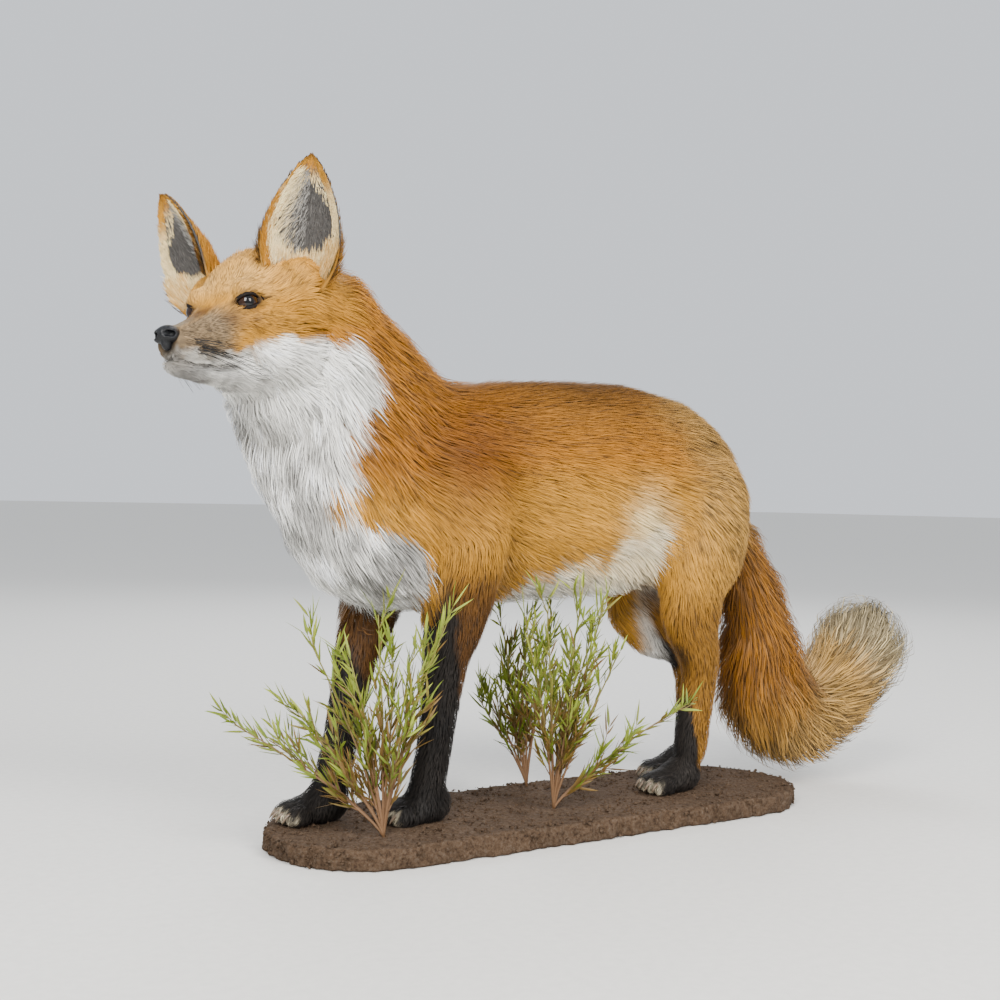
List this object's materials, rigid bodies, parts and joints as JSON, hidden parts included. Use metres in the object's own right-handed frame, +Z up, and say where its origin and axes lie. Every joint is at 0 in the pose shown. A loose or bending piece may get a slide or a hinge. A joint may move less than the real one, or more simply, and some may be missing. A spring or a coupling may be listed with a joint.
{
  "type": "taxidermy fox",
  "caption": "Life-size still model of a mounted red fox, standing with raised turned head and curled tail on an oval soil-covered plaque with wiry plants.",
  "frame": {"origin": "centre of the plaque's underside", "axes": "+Z up, the fox faces -X along the plaque's length, its left side towards -Y"},
  "size_m": [0.8491, 0.172, 0.5451],
  "materials": {
    "fur_orange": "dense golden-orange fox fur, browner on neck, shoulder and tail",
    "fur_black": "short black stocking fur with grey sheen and pale toe tips",
    "fur_white": "creamy white throat and cheek fur",
    "nose_leather": "black pebbled nose leather, slightly glossy",
    "eye_glass": "dark brown glass eye, glossy",
    "soil": "board covered with dark brown crumbly soil",
    "plant": "dried tan stems with narrow olive leaves"
  },
  "bodies": {
    "root": {"tail_tip": "fur_orange", "tail_bend": "fur_orange", "tail_middle": "fur_orange", "tail_root": "fur_orange", "leg_front_left_upper": "fur_orange", "leg_front_right_upper": "fur_orange", "leg_hind_left_upper": "fur_orange", "leg_hind_right_upper": "fur_orange", "head": "fur_orange", "neck": "fur_orange", "trunk": "fur_orange", "ear_left": "fur_orange", "ear_right": "fur_orange", "leg_front_left_lower": "fur_black", "leg_front_right_lower": "fur_black", "leg_hind_left_lower": "fur_black", "leg_hind_right_lower": "fur_black", "paw_front_left": "fur_black", "paw_front_right": "fur_black", "paw_hind_left": "fur_black", "paw_hind_right": "fur_black", "jaw": "fur_white", "nose": "nose_leather", "eye_left": "eye_glass", "eye_right": "eye_glass", "plaque": "soil", "plant_front": "plant", "plant_middle": "plant", "plant_back": "plant"}
  },
  "joints": []
}
